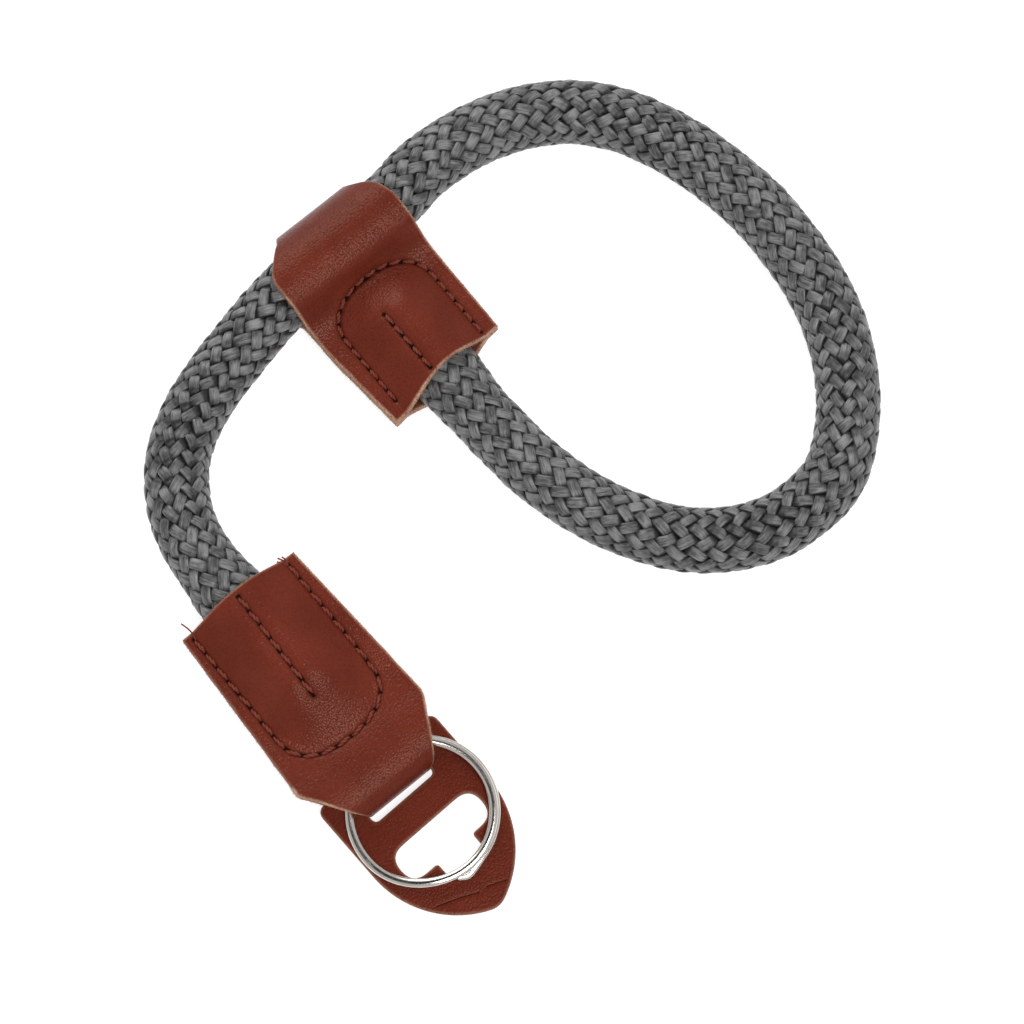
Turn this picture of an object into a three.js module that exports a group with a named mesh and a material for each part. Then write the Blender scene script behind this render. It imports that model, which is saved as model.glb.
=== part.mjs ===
// Camera wrist strap: a braided rope loop closed by a sewn leather keeper, and a sewn
// leather end tab that carries a split ring and a leaf-shaped leather guard.
// Millimetres, +Z up, lying on the floor at z = 0.
// Positions are measured from the middle of the end tab's fold: X across the tab and Y from
// the fold towards the tab's mouth. The last step moves the middle of the footprint to 0, 0.

import * as THREE from 'three';

const GAP = 0.3;
const LEATHER = 1.3;
const HALF_LEATHER = LEATHER / 2;

const FOOTPRINT_MIDDLE_X = 48.6;
const FOOTPRINT_MIDDLE_Y = 29.25;

// Materials
const leatherLook = new THREE.MeshStandardMaterial({ color: 0x6e3226, roughness: 0.55 });
const ropeLook = new THREE.MeshStandardMaterial({ color: 0x5a5a5c, roughness: 0.9 });
const metalLook = new THREE.MeshStandardMaterial({ color: 0xc8c0b4, metalness: 1, roughness: 0.25 });

// A closed mesh from points and triangles
function meshOf(name, points, triangles, look) {
  const geometry = new THREE.BufferGeometry().setFromPoints(points);
  geometry.setIndex(triangles);
  geometry.computeVertexNormals();
  const mesh = new THREE.Mesh(geometry, look);
  mesh.name = name;
  return mesh;
}

// A leather sheet of even thickness around a grid of points on its middle surface.
// Rows follow the strip, columns run across it, and the outer face is on the left of the rows.
function leatherSheet(name, grid) {
  const rows = grid.length;
  const columns = grid[0].length;
  const outer = [];
  const inner = [];
  for (let r = 0; r < rows; r += 1) {
    for (let c = 0; c < columns; c += 1) {
      const along = grid[Math.min(r + 1, rows - 1)][c].clone();
      along.sub(grid[Math.max(r - 1, 0)][c]);
      const across = grid[r][Math.min(c + 1, columns - 1)].clone();
      across.sub(grid[r][Math.max(c - 1, 0)]);
      const normal = along.cross(across).setLength(HALF_LEATHER);
      outer.push(grid[r][c].clone().add(normal));
      inner.push(grid[r][c].clone().sub(normal));
    }
  }
  const triangles = [];
  const quad = (a, b, c, d) => triangles.push(a, b, c, a, c, d);
  const under = rows * columns;
  const at = (r, c) => r * columns + c;
  for (let r = 0; r < rows - 1; r += 1) {
    for (let c = 0; c < columns - 1; c += 1) {
      quad(at(r, c), at(r + 1, c), at(r + 1, c + 1), at(r, c + 1));
      quad(under + at(r, c), under + at(r, c + 1), under + at(r + 1, c + 1), under + at(r + 1, c));
    }
    const last = columns - 1;
    quad(at(r, 0), under + at(r, 0), under + at(r + 1, 0), at(r + 1, 0));
    quad(at(r, last), at(r + 1, last), under + at(r + 1, last), under + at(r, last));
  }
  for (let c = 0; c < columns - 1; c += 1) {
    const last = rows - 1;
    quad(at(0, c), at(0, c + 1), under + at(0, c + 1), under + at(0, c));
    quad(at(last, c), under + at(last, c), under + at(last, c + 1), at(last, c + 1));
  }
  return meshOf(name, outer.concat(inner), triangles, leatherLook);
}

// Straight-line lookup in a short table of two named columns
function lookUp(table, from, to, value) {
  const first = table[0];
  if (value <= first[from]) {
    return first[to];
  }
  for (let i = 1; i < table.length; i += 1) {
    if (value <= table[i][from]) {
      const share = (value - table[i - 1][from]) / (table[i][from] - table[i - 1][from]);
      return THREE.MathUtils.lerp(table[i - 1][to], table[i][to], share);
    }
  }
  return table[table.length - 1][to];
}

// The strip's middle line seen from the side: the front layer from its mouth, the fold as an
// arc of an ellipse, then the back layer to its mouth
const FOLD_STEPS = 10;

function sideLine(sizes) {
  const points = sizes.front.map((p) => new THREE.Vector3(0, p.y, p.z));
  const fold = sizes.fold;
  for (let i = 0; i <= FOLD_STEPS; i += 1) {
    const angle = THREE.MathUtils.degToRad(fold.sweep * (1 - (2 * i) / FOLD_STEPS));
    const y = fold.y + sizes.foldSide * fold.reach * Math.cos(angle);
    const z = fold.z + fold.rise * Math.sin(angle);
    points.push(new THREE.Vector3(0, y, z));
  }
  sizes.back.forEach((p) => points.push(new THREE.Vector3(0, p.y, p.z)));
  return new THREE.CatmullRomCurve3(points);
}

// A sewn leather holder: one strip folded in two, with a pocket that swells over the rope's
// end and is pressed in along its middle seam. The back layer is flat where it rests.
// Widths go by the distance along the strip from the fold.
const MIDDLE_SEAM_REACH = 1.3;

function sewnHolder(name, sizes) {
  const line = sideLine(sizes);
  line.arcLengthDivisions = 800;
  const rowLength = line.getLength() / sizes.rows;
  const stations = line.getSpacedPoints(sizes.rows);
  const mouthDistances = stations.map((station) => Math.abs(station.y - sizes.mouthY));
  const foldRow = mouthDistances.indexOf(Math.max(...mouthDistances));
  const grid = stations.map((station, row) => {
    const fromFold = Math.abs(row - foldRow) * rowLength;
    const half = lookUp(sizes.widths, 'fromFold', 'half', fromFold);
    const middle = lookUp(sizes.widths, 'fromFold', 'middle', fromFold);
    const front = row < foldRow;
    const mouthShift = front ? sizes.frontMouthShift : sizes.backMouthShift;
    const nearMouth = Math.max(0, 1 - mouthDistances[row] / sizes.mouthReach);
    const pastPocket = Math.max(0, (station.y - sizes.pocketStraightY) * sizes.foldSide);
    const seamed = mouthDistances[row] < sizes.middleSeamLength ? 1 : 0;
    const points = [];
    for (let c = 0; c <= sizes.columns; c += 1) {
      const x = half * ((2 * c) / sizes.columns - 1);
      const out = Math.min(1, Math.hypot(x / sizes.seamHalf, pastPocket / sizes.pocketDome));
      const bell = Math.cos((Math.PI / 2) * out);
      const seamOffset = (x - sizes.middleSeamX) / MIDDLE_SEAM_REACH;
      const press = seamed * sizes.middleSeamPress * Math.exp(-(seamOffset ** 2));
      const swell = bell * (sizes.pocketSwell - press);
      const y = station.y + nearMouth * (mouthShift * bell + sizes.mouthSkew * x);
      const z = station.z + (front ? swell : -swell);
      points.push(new THREE.Vector3(sizes.x + middle + x, y, Math.max(HALF_LEATHER, z)));
    }
    return points;
  });
  return leatherSheet(name, grid);
}

// End tab: the ring and the guard's strip lie in its fold, the rope's first end in its pocket
const POCKET_Z = 5.7;
const TAB = {
  x: 0,
  rows: 46,
  columns: 14,
  foldSide: -1,
  mouthY: 40,
  mouthReach: 6,
  frontMouthShift: 0.3,
  backMouthShift: 0,
  mouthSkew: 0,
  seamHalf: 9.4,
  pocketStraightY: 18,
  pocketDome: 6.6,
  pocketSwell: 4.8,
  middleSeamX: -0.2,
  middleSeamLength: 20,
  middleSeamPress: 0.45,
  widths: [
    { fromFold: 2.6, half: 6.5, middle: 0 },
    { fromFold: 12.2, half: 13.1, middle: 0.4 },
    { fromFold: 43, half: 11.1, middle: 0 },
  ],
  front: [
    { y: 40, z: 6.2 },
    { y: 30, z: 6.2 },
    { y: 21, z: 6.15 },
    { y: 16, z: 5.75 },
    { y: 11.6, z: 5.4 },
    { y: 9, z: 6.2 },
    { y: 6.2, z: 6.45 },
  ],
  fold: { y: 3.55, z: 3.55, reach: 2.9, rise: 2.9, sweep: 90 },
  back: [
    { y: 6.8, z: 0.68 },
    { y: 9, z: 1.8 },
    { y: 11.6, z: 3.75 },
    { y: 16, z: 4.1 },
    { y: 21, z: 4.55 },
    { y: 30, z: 4.6 },
    { y: 40, z: 4.6 },
  ],
};

// Keeper: the passing rope lies in its fold, the rope's second end in its pocket
const KEEPER = {
  x: 48.3,
  rows: 54,
  columns: 14,
  foldSide: 1,
  mouthY: 47,
  mouthReach: 7,
  frontMouthShift: 0.9,
  backMouthShift: -0.9,
  mouthSkew: 0.1,
  seamHalf: 8.9,
  pocketStraightY: 61,
  pocketDome: 6.2,
  pocketSwell: 4.8,
  middleSeamX: -1.8,
  middleSeamLength: 13,
  middleSeamPress: 0.45,
  widths: [
    { fromFold: 4, half: 7, middle: -0.1 },
    { fromFold: 9.5, half: 12, middle: -0.6 },
    { fromFold: 26, half: 11.9, middle: -0.5 },
    { fromFold: 44, half: 11.1, middle: 0.2 },
  ],
  front: [
    { y: 47, z: 6.2 },
    { y: 55, z: 6.2 },
    { y: 62, z: 6.5 },
    { y: 66.9, z: 7.5 },
  ],
  fold: { y: 74.2, z: 6.6, reach: 6.9, rise: 6.05, sweep: 150 },
  back: [
    { y: 66.9, z: 5.7 },
    { y: 62, z: 4.85 },
    { y: 55, z: 4.6 },
    { y: 47, z: 4.6 },
  ],
};

// Rope: its middle line from the end in the tab's pocket to the end in the keeper's pocket
const ROPE_RADIUS = 5;
const ROPE_SIDES = 12;
const ROPE_STEPS = 80;
const ROPE_POINTS = [
  { x: 0, y: 17.8, z: 5.7 },
  { x: 0, y: 24, z: 5.7 },
  { x: -0.1, y: 32, z: 5.7 },
  { x: -0.6, y: 40, z: 5.6 },
  { x: -0.5, y: 47.5, z: 5.1 },
  { x: 0.8, y: 54.8, z: 5 },
  { x: 3.5, y: 60.1, z: 5 },
  { x: 7.3, y: 64.4, z: 5 },
  { x: 12.8, y: 67.8, z: 5 },
  { x: 19.4, y: 70.2, z: 5.1 },
  { x: 26.8, y: 71.9, z: 5.7 },
  { x: 36, y: 73.6, z: 6.5 },
  { x: 48.3, y: 74.4, z: 6.6 },
  { x: 60.6, y: 75.3, z: 6.5 },
  { x: 66.5, y: 76.3, z: 6 },
  { x: 72.1, y: 76.4, z: 5.4 },
  { x: 79.6, y: 75.2, z: 5 },
  { x: 86.4, y: 72.5, z: 5 },
  { x: 92.5, y: 68.3, z: 5 },
  { x: 97.2, y: 62.7, z: 5 },
  { x: 100.7, y: 55.8, z: 5 },
  { x: 103.8, y: 45, z: 5 },
  { x: 105, y: 34, z: 5 },
  { x: 103.6, y: 20.5, z: 5 },
  { x: 101, y: 12.6, z: 5 },
  { x: 96.8, y: 5.3, z: 5 },
  { x: 91.9, y: -0.2, z: 5 },
  { x: 85.2, y: -4.7, z: 5 },
  { x: 77.6, y: -5.6, z: 5 },
  { x: 71, y: -4.4, z: 5 },
  { x: 65.3, y: -1.5, z: 5 },
  { x: 60.5, y: 2.5, z: 5 },
  { x: 56.5, y: 7.8, z: 5 },
  { x: 52.2, y: 16.5, z: 5 },
  { x: 49.7, y: 26, z: 5 },
  { x: 48.7, y: 36, z: 5.1 },
  { x: 48.3, y: 46, z: 5.6 },
  { x: 48.3, y: 55, z: 5.7 },
  { x: 48.3, y: 62, z: 5.7 },
];

// Inside a pocket the rope is pressed flat: lower and wider, fading in before the mouth
const PRESSED_HEIGHT = 0.76;
const PRESSED_WIDTH = 1.14;
const PRESS_FADE = 7;
const POCKETS = [
  { x: TAB.x, mouthY: TAB.mouthY, inward: -1, depth: 24, reach: 9 },
  { x: KEEPER.x, mouthY: KEEPER.mouthY, inward: 1, depth: 16, reach: 9 },
];

function pressInPockets(place) {
  for (let i = 0; i < place.count; i += 1) {
    const x = place.getX(i);
    const y = place.getY(i);
    for (const pocket of POCKETS) {
      const depth = (y - pocket.mouthY) * pocket.inward;
      const beside = Math.abs(x - pocket.x) < pocket.reach;
      if (beside && depth > -PRESS_FADE && depth < pocket.depth) {
        const share = Math.min(1, (depth + PRESS_FADE) / PRESS_FADE);
        const wide = THREE.MathUtils.lerp(1, PRESSED_WIDTH, share);
        const high = THREE.MathUtils.lerp(1, PRESSED_HEIGHT, share);
        place.setX(i, pocket.x + (x - pocket.x) * wide);
        place.setZ(i, POCKET_Z + (place.getZ(i) - POCKET_Z) * high);
      }
    }
  }
}

function ropeMesh() {
  const points = ROPE_POINTS.map((p) => new THREE.Vector3(p.x, p.y, p.z));
  const corners = [];
  for (let i = 0; i < ROPE_SIDES; i += 1) {
    const angle = (2 * Math.PI * (i + 0.5)) / ROPE_SIDES;
    corners.push(new THREE.Vector2(Math.cos(angle), Math.sin(angle)).multiplyScalar(ROPE_RADIUS));
  }
  const options = {
    steps: ROPE_STEPS,
    extrudePath: new THREE.CatmullRomCurve3(points),
    bevelEnabled: false,
  };
  const geometry = new THREE.ExtrudeGeometry(new THREE.Shape(corners), options);
  pressInPockets(geometry.attributes.position);
  geometry.computeVertexNormals();
  const mesh = new THREE.Mesh(geometry, ropeLook);
  mesh.name = 'rope';
  return mesh;
}

// Guard: a flat leather leaf whose strip above the slit lies inside the tab's fold
const GUARD_X = 0.45;
const GUARD_HALF = 11.9;
const GUARD_TOP_Y = 6.6;
const GUARD_CORNER = 1.6;
const GUARD_SHOULDER_Y = -7;
const GUARD_TIP_RADIUS = 17.3;
const GUARD_TIP_HALF = 1.2;
const GUARD_TIP_Y = -23.4;
const GUARD_TILT = THREE.MathUtils.degToRad(3.5);
const GUARD_TURN = THREE.MathUtils.degToRad(1.8);
const SLIT = { left: -7.7, right: 6.7, low: -1.1, high: 3.5, corner: 1 };
const SLOT = { left: -8, right: 9.2, low: -12, high: -6.2, corner: 2.6 };
const STEM = { left: -3, right: 4.2, low: -15.6, corner: 1.6 };
const NOTCH_CORNER = 0.3;

// Draws a path through corner points, rounding each corner by its own size
function roundedPath(path, corners) {
  const count = corners.length;
  corners.forEach((corner, i) => {
    const here = new THREE.Vector2(corner.x, corner.y);
    const before = corners[(i + count - 1) % count];
    const after = corners[(i + 1) % count];
    const start = new THREE.Vector2(before.x, before.y).sub(here).setLength(corner.round).add(here);
    const end = new THREE.Vector2(after.x, after.y).sub(here).setLength(corner.round).add(here);
    if (i === 0) {
      path.moveTo(start.x, start.y);
    } else {
      path.lineTo(start.x, start.y);
    }
    path.quadraticCurveTo(here.x, here.y, end.x, end.y);
  });
  path.closePath();
  return path;
}

function guardOutline() {
  const outline = new THREE.Shape();
  const arcX = GUARD_HALF - GUARD_TIP_RADIUS;
  const arcEnd = Math.acos((GUARD_TIP_HALF - arcX) / GUARD_TIP_RADIUS);
  const arcEndY = GUARD_SHOULDER_Y - GUARD_TIP_RADIUS * Math.sin(arcEnd);
  outline.moveTo(-GUARD_HALF, GUARD_TOP_Y - GUARD_CORNER);
  outline.lineTo(-GUARD_HALF, GUARD_SHOULDER_Y);
  outline.absarc(-arcX, GUARD_SHOULDER_Y, GUARD_TIP_RADIUS, Math.PI, Math.PI + arcEnd, false);
  outline.quadraticCurveTo(0, GUARD_TIP_Y, GUARD_TIP_HALF, arcEndY);
  outline.absarc(arcX, GUARD_SHOULDER_Y, GUARD_TIP_RADIUS, -arcEnd, 0, false);
  outline.lineTo(GUARD_HALF, GUARD_TOP_Y - GUARD_CORNER);
  outline.quadraticCurveTo(GUARD_HALF, GUARD_TOP_Y, GUARD_HALF - GUARD_CORNER, GUARD_TOP_Y);
  outline.lineTo(GUARD_CORNER - GUARD_HALF, GUARD_TOP_Y);
  outline.quadraticCurveTo(-GUARD_HALF, GUARD_TOP_Y, -GUARD_HALF, GUARD_TOP_Y - GUARD_CORNER);
  return outline;
}

function guardMesh() {
  const slit = roundedPath(new THREE.Path(), [
    { x: SLIT.left, y: SLIT.low, round: SLIT.corner },
    { x: SLIT.right, y: SLIT.low, round: SLIT.corner },
    { x: SLIT.right, y: SLIT.high, round: SLIT.corner },
    { x: SLIT.left, y: SLIT.high, round: SLIT.corner },
  ]);
  const slot = roundedPath(new THREE.Path(), [
    { x: SLOT.left, y: SLOT.low, round: SLOT.corner },
    { x: STEM.left, y: SLOT.low, round: NOTCH_CORNER },
    { x: STEM.left, y: STEM.low, round: STEM.corner },
    { x: STEM.right, y: STEM.low, round: STEM.corner },
    { x: STEM.right, y: SLOT.low, round: NOTCH_CORNER },
    { x: SLOT.right, y: SLOT.low, round: SLOT.corner },
    { x: SLOT.right, y: SLOT.high, round: SLOT.corner },
    { x: SLOT.left, y: SLOT.high, round: SLOT.corner },
  ]);
  const outline = guardOutline();
  outline.holes.push(slit, slot);
  const options = { depth: LEATHER, bevelEnabled: false, curveSegments: 8 };
  const mesh = new THREE.Mesh(new THREE.ExtrudeGeometry(outline, options), leatherLook);
  mesh.name = 'guard';
  return mesh;
}

// Split ring: flat wire wound into two coils, with one step from the lower to the upper coil.
// Angles are degrees counted along the wire from the lower coil's free end, which is splayed.
const RING_X = 0.65;
const RING_Y = -4.4;
const RING_OUTER = 12.2;
const WIRE_WIDE = 1.6;
const WIRE_HIGH = 0.95;
const COIL_RISE = 1.05;
const RING_START = -96;
const RING_LENGTH = 650;
const STEP_FROM = 290;
const STEP_TO = 352;
const SPLAY = 0.7;
const SPLAY_LENGTH = 26;
const SPLAY_EASE = 1.5;
const RING_STEPS = 100;
const WIRE_SECTION = [
  { wide: -0.5, high: 0.28 },
  { wide: -0.36, high: 0.5 },
  { wide: 0.36, high: 0.5 },
  { wide: 0.5, high: 0.28 },
  { wide: 0.5, high: -0.28 },
  { wide: 0.36, high: -0.5 },
  { wide: -0.36, high: -0.5 },
  { wide: -0.5, high: -0.28 },
];

function ringMesh() {
  const points = [];
  const triangles = [];
  const sides = WIRE_SECTION.length;
  for (let i = 0; i <= RING_STEPS; i += 1) {
    const turned = (RING_LENGTH * i) / RING_STEPS;
    const angle = THREE.MathUtils.degToRad(RING_START + turned);
    const splay = SPLAY * Math.max(0, 1 - turned / SPLAY_LENGTH) ** SPLAY_EASE;
    const middle = RING_OUTER - WIRE_WIDE / 2 + splay;
    const rise = COIL_RISE * THREE.MathUtils.smoothstep(turned, STEP_FROM, STEP_TO);
    for (const corner of WIRE_SECTION) {
      const radius = middle + corner.wide * WIRE_WIDE;
      const z = WIRE_HIGH / 2 + rise + corner.high * WIRE_HIGH;
      points.push(new THREE.Vector3(radius * Math.cos(angle), radius * Math.sin(angle), z));
    }
  }
  for (let i = 0; i < RING_STEPS; i += 1) {
    for (let k = 0; k < sides; k += 1) {
      const a = i * sides + k;
      const b = i * sides + ((k + 1) % sides);
      triangles.push(a, b, b + sides, a, b + sides, a + sides);
    }
  }
  const end = RING_STEPS * sides;
  for (let k = 1; k < sides - 1; k += 1) {
    triangles.push(0, k + 1, k);
    triangles.push(end, end + k, end + k + 1);
  }
  return meshOf('split_ring', points, triangles, metalLook);
}

// Guard and ring lean together: the guard's tip on the floor, its strip up in the fold
const leaning = new THREE.Group();
leaning.name = 'ring_and_guard';
leaning.position.set(GUARD_X, GUARD_TIP_Y, 0);
leaning.rotation.set(GUARD_TILT, 0, 0);
const guard = guardMesh();
guard.position.set(0, -GUARD_TIP_Y, 0);
guard.rotation.set(0, 0, GUARD_TURN);
const ring = ringMesh();
ring.position.set(RING_X, RING_Y - GUARD_TIP_Y, LEATHER + GAP);
leaning.add(guard, ring);

const holders = new THREE.Group();
holders.name = 'leather_holders';
holders.add(sewnHolder('end_tab', TAB), sewnHolder('keeper', KEEPER));

const strap = new THREE.Group();
strap.name = 'camera_wrist_strap';
strap.add(ropeMesh(), holders, leaning);
strap.position.set(-FOOTPRINT_MIDDLE_X, -FOOTPRINT_MIDDLE_Y, 0);

export default strap;
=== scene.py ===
# Camera wrist strap on a pale floor: braided rope, sewn leather tab and keeper, split ring, guard.
# Sizes are millimetres from the middle of the tab's fold: x across the tab, y towards its mouth.

import math
from functools import partial
from types import SimpleNamespace
import bpy
import numpy as np
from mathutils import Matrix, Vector, noise
from mathutils.geometry import delaunay_2d_cdt
from mathutils.kdtree import KDTree


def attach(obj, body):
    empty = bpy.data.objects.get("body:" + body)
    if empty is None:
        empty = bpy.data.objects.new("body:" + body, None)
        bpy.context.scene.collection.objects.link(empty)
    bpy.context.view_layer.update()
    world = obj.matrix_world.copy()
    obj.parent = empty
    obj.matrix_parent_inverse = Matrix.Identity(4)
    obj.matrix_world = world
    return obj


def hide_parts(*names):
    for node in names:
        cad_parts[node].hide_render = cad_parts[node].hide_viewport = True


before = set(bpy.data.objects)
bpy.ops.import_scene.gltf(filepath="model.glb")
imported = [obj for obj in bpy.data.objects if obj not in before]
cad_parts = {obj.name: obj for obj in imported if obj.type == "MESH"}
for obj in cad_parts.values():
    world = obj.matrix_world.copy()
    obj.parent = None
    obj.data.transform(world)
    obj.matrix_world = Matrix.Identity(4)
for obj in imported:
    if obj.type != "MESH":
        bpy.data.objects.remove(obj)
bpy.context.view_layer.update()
scene = bpy.context.scene
print("frame loaded:", sorted(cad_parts))

footprintMiddle = np.array([48.6, 29.25, 0.0])  # the part's origin, seen from the fold
leatherThick = 1.3


# small helpers

def toRow(points):
    return (np.asarray(points, float) - footprintMiddle) / 1000.0


def smoothLine(points, perSpan):
    # a smooth line through the points, sampled perSpan times between each two
    points = np.asarray(points, float)
    ends = np.vstack([2 * points[0] - points[1], points, 2 * points[-1] - points[-2]])
    share = np.linspace(0, 1, perSpan, endpoint=False)[:, None]
    pieces = []
    for a, b, c, d in zip(ends, ends[1:], ends[2:], ends[3:]):
        ab, bc, cd = (math.sqrt(np.linalg.norm(q - p)) for p, q in ((a, b), (b, c), (c, d)))
        leave = ((b - a) / ab - (c - a) / (ab + bc) + (c - b) / bc) * bc
        arrive = ((c - b) / bc - (d - b) / (bc + cd) + (d - c) / cd) * bc
        pieces.append(b + leave * share + (3 * c - 3 * b - 2 * leave - arrive) * share**2
                      + (2 * b - 2 * c + leave + arrive) * share**3)
    return np.vstack(pieces + [points[-1:]])


def lengthsAlong(line):
    return np.concatenate([[0], np.cumsum(np.linalg.norm(np.diff(line, axis=0), axis=1))])


def pointsAt(line, places):
    along = lengthsAlong(line)
    return np.stack([np.interp(places, along, line[:, k]) for k in range(line.shape[1])], axis=1)


def evenly(line, count):
    return pointsAt(line, np.linspace(0, lengthsAlong(line)[-1], count))


def ripple(x, y, seed):
    # smooth noise from -1 to 1 at points of a plane
    flat = zip(np.ravel(x), np.ravel(y))
    values = [noise.noise(Vector((a, b, seed))) for a, b in flat]
    return np.array(values).reshape(np.shape(x))


def unit(vectors):
    return vectors / np.maximum(np.linalg.norm(vectors, axis=-1, keepdims=True), 1e-12)


def fuller(values, power):
    # turns a circle's sines and cosines into those of a squarer or sharper curve
    return np.sign(values) * np.abs(values)**power


def planTree(points):
    # for finding points by their place on the floor
    tree = KDTree(len(points))
    for i, point in enumerate(points):
        tree.insert((point[0], point[1], 0), i)
    tree.balance()
    return tree


def nearest(points, lines):
    # how far points of the plan are from the nearest point of some lines
    tree = planTree(np.vstack(lines))
    return np.array([tree.find((*p, 0))[2] for p in points])


def treeValues(sizes, material, lengths, others):
    # a tree's inputs from the sizes of the same names, lengths in metres
    metres = {name: sizes[name] / 1000 for name in lengths.split()}
    return {**metres, **{name: sizes[name] for name in others.split()}, "Material": material}


def addMesh(name, points, edges, faces, marks=None):
    mesh = bpy.data.meshes.new(name)
    mesh.from_pydata(toRow(points).tolist(), edges, faces)
    for mark, values in (marks or {}).items():
        values = np.asarray(values, float)
        kind = "FLOAT_VECTOR" if values.ndim == 2 else "FLOAT"
        layer = mesh.attributes.new(mark, kind, "POINT")
        layer.data.foreach_set("vector" if values.ndim == 2 else "value", values.ravel())
    return mesh


def addGuide(name, lines, marks=None):
    # separate lines of one helper mesh, for a geometry tree to follow
    edges, start = [], 0
    for line in lines:
        edges += [(start + i, start + i + 1) for i in range(len(line) - 1)]
        start += len(line)
    return addMesh(name + "_guide", np.vstack(lines), edges, [], marks)


def addPiece(name, mesh, material=None):
    if material is not None:
        mesh.materials.append(material)
    mesh.shade_smooth()
    piece = bpy.data.objects.new(name, mesh)
    scene.collection.objects.link(piece)
    return piece


def dress(piece, body, slot, *nodes):
    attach(piece, body)
    if nodes:
        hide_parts(*nodes)


def turnTo(thing, backward):
    # turns a camera or a light to look against a direction
    thing.rotation_mode = "QUATERNION"
    thing.rotation_quaternion = (-backward).to_track_quat("-Z", "Y")
    scene.collection.objects.link(thing)


# node helpers, for materials and for geometry

def mathNode(operation):
    return lambda *values: calc(operation, *values)


class Value:
    # a node's output: sums and products of values become Math nodes
    def __init__(self, socket):
        self.socket, self.tree = socket, socket.id_data

    __add__, __sub__ = mathNode("ADD"), mathNode("SUBTRACT")
    __mul__, __truediv__ = mathNode("MULTIPLY"), mathNode("DIVIDE")
    __pow__, __abs__ = mathNode("POWER"), mathNode("ABSOLUTE")

    def __rtruediv__(self, other):
        return calc("DIVIDE", other, self)


def plug(tree, node, inputs):
    for key, value in inputs.items():
        if isinstance(value, Value):
            tree.links.new(value.socket, node.inputs[key])
        else:
            node.inputs[key].default_value = value


def addNode(tree, kind, inputs=None, **settings):
    node = tree.nodes.new(kind)
    for key, value in settings.items():
        setattr(node, key, value)
    plug(tree, node, inputs or {})
    return node


def outOf(tree, kind, inputs=None, output=0, **settings):
    return Value(addNode(tree, kind, inputs, **settings).outputs[output])


def treeOf(values):
    return next(value.tree for value in values if isinstance(value, Value))


def calc(operation, *values):
    return outOf(treeOf(values), "ShaderNodeMath", dict(enumerate(values)), operation=operation)


def vectorCalc(operation, *values, **more):
    inputs = {**dict(enumerate(values)), **more}
    return outOf(treeOf(values), "ShaderNodeVectorMath", inputs, "Vector", operation=operation)


def scaled(vector, amount):
    return vectorCalc("SCALE", vector, Scale=amount)


def vectorOf(*values):
    return outOf(treeOf(values), "ShaderNodeCombineXYZ", dict(enumerate(values)))


def speckle(place, scale, detail, output=0, **more):
    inputs = {"Vector": place, "Scale": scale, "Detail": detail, **more}
    return outOf(place.tree, "ShaderNodeTexNoise", inputs, output)


def mixColour(factor, a, b):
    return outOf(factor.tree, "ShaderNodeMix", {0: factor, 6: a, 7: b}, 2, data_type="RGBA")


def dimmed(colour, share):
    return outOf(colour.tree, "ShaderNodeHueSaturation", {"Value": share, "Color": colour})


def ramp(value, low, high, fromValue=0.0, toValue=1.0):
    inputs = {0: value, 1: low, 2: high, 3: fromValue, 4: toValue}
    return outOf(value.tree, "ShaderNodeMapRange", inputs, interpolation_type="SMOOTHSTEP")


def newTree(name, kind, inputs, outputs):
    # the names of the sockets are given by their kind
    tree = bpy.data.node_groups.new(name, kind)
    for way, sockets in (("INPUT", inputs), ("OUTPUT", outputs)):
        for socketKind, names in sockets.items():
            for socketName in names.split():
                tree.interface.new_socket(socketName, in_out=way, socket_type="NodeSocket" + socketKind)
    inputs = addNode(tree, "NodeGroupInput").outputs
    given = SimpleNamespace(**{socket.name: Value(socket) for socket in inputs if socket.name})
    return tree, given, addNode(tree, "NodeGroupOutput")


def shaderGroup(name, **inputs):
    return newTree(name, "ShaderNodeTree", inputs, {"Float": "Height Tone"})


def geometryTree(name, **inputs):
    inputs = {"Geometry": "Geometry", "Material": "Material", **inputs}
    return newTree(name, "GeometryNodeTree", inputs, {"Geometry": "Geometry"})


def endTree(tree, given, ending, geometry):
    whole = outOf(tree, "GeometryNodeRealizeInstances", {"Geometry": geometry})
    inputs = {"Geometry": whole, "Material": given.Material}
    plug(tree, ending, {"Geometry": outOf(tree, "GeometryNodeSetMaterial", inputs)})
    return tree


def store(geometry, **marks):
    for name, value in marks.items():
        inputs = {"Geometry": geometry, "Name": name, "Value": value}
        geometry = outOf(geometry.tree, "GeometryNodeStoreNamedAttribute", inputs,
                         data_type="FLOAT", domain="POINT")
    return geometry


def stored(tree, name, kind="FLOAT"):
    return outOf(tree, "GeometryNodeInputNamedAttribute", {"Name": name}, "Attribute", data_type=kind)


def chance(tree, low, high, seed):
    return outOf(tree, "FunctionNodeRandomValue", {2: low, 3: high, "Seed": seed}, 1, data_type="FLOAT")


def runTree(name, mesh, tree, values):
    # evaluates a geometry tree on a mesh and keeps the result as a plain mesh
    helper = bpy.data.objects.new(name + "_helper", mesh)
    scene.collection.objects.link(helper)
    modifier = helper.modifiers.new("make", "NODES")
    modifier.node_group = tree
    for item in tree.interface.items_tree:
        if item.in_out == "INPUT" and item.name in values:
            modifier[item.identifier] = values[item.name]
    depsgraph = bpy.context.evaluated_depsgraph_get()
    made = bpy.data.meshes.new_from_object(helper.evaluated_get(depsgraph), depsgraph=depsgraph)
    helper.modifiers.remove(modifier)
    bpy.data.objects.remove(helper)
    made.name = name
    return made


# camera, at the photo's angle

cameraSettings = {
    "azimuth": -39.5,
    "elevation": 77.0,
    "distance": 600.0,
    "lens": 131.84,
    "sensor": 36.0,
    "lookAt": (42.89, 24.24, 0.0),
}


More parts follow.
